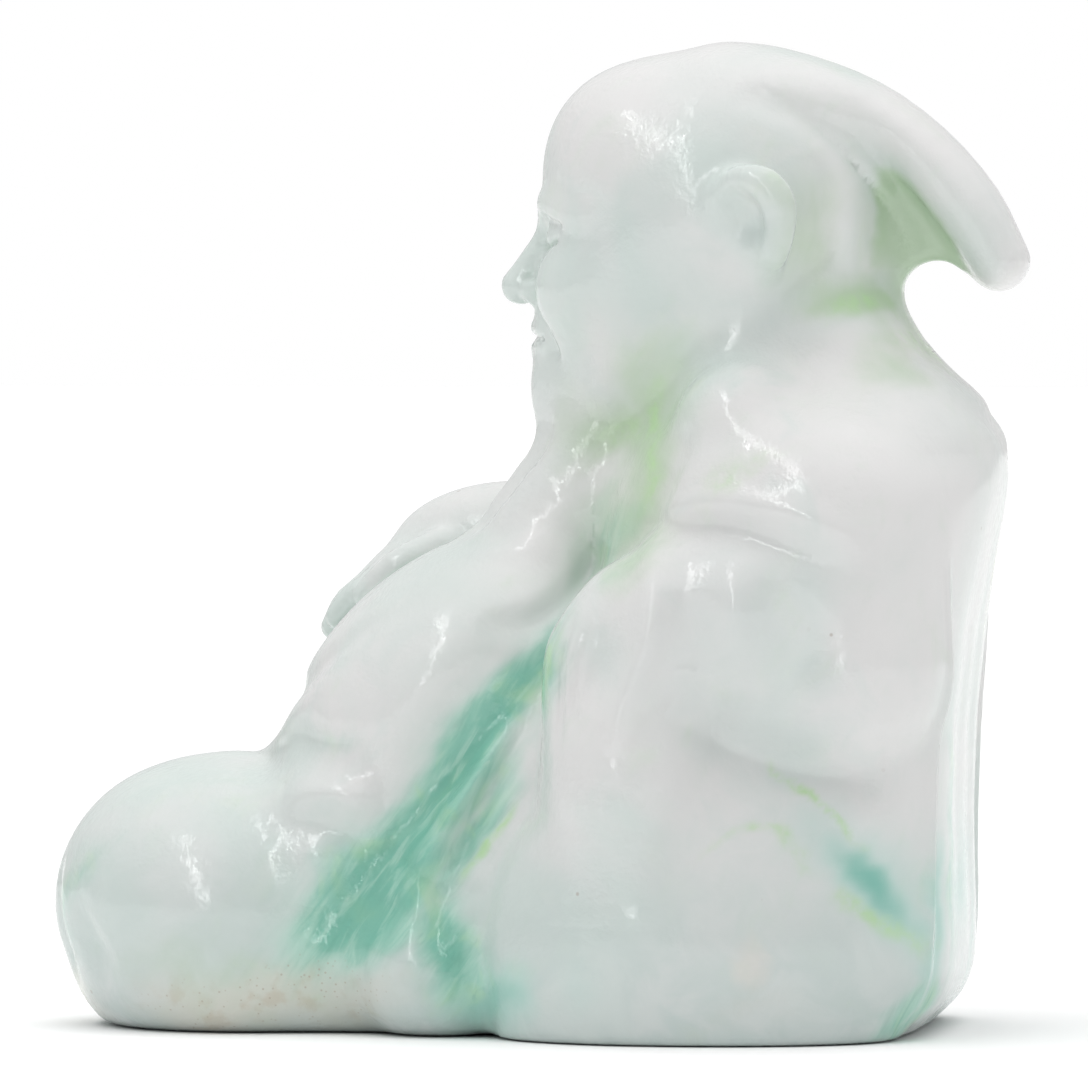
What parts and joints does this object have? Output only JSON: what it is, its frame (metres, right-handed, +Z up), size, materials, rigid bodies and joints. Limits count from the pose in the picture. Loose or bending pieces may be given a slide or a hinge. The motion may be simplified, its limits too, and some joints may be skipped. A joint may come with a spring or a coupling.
{
  "type": "carved jade figurine",
  "caption": "Pebble-shaped jade carving of a robed elder seated cross-legged, beard on chest, cap tail swept back over the nape, on a flat polished underside.",
  "frame": {"origin": "centre of the overall box at the flat underside, on the surface that the figure stands on", "axes": "+Z up from the underside, -Y the way the face looks, +X the figure's own left side (the narrow direction of the stone)"},
  "size_m": [0.041, 0.0626, 0.063],
  "materials": {
    "jade": "hand-polished translucent jadeite, gloss with a fine orange-peel, near-white with pale green and blue-green clouding"
  },
  "bodies": {
    "root": {"base": "jade", "torso": "jade", "lap": "jade", "left_leg": "jade", "right_leg": "jade", "front_robe": "jade", "left_sleeve": "jade", "right_sleeve": "jade", "head": "jade", "beard": "jade", "cap_tail": "jade", "left_ear": "jade", "right_ear": "jade", "right_hand": "jade"}
  },
  "joints": []
}
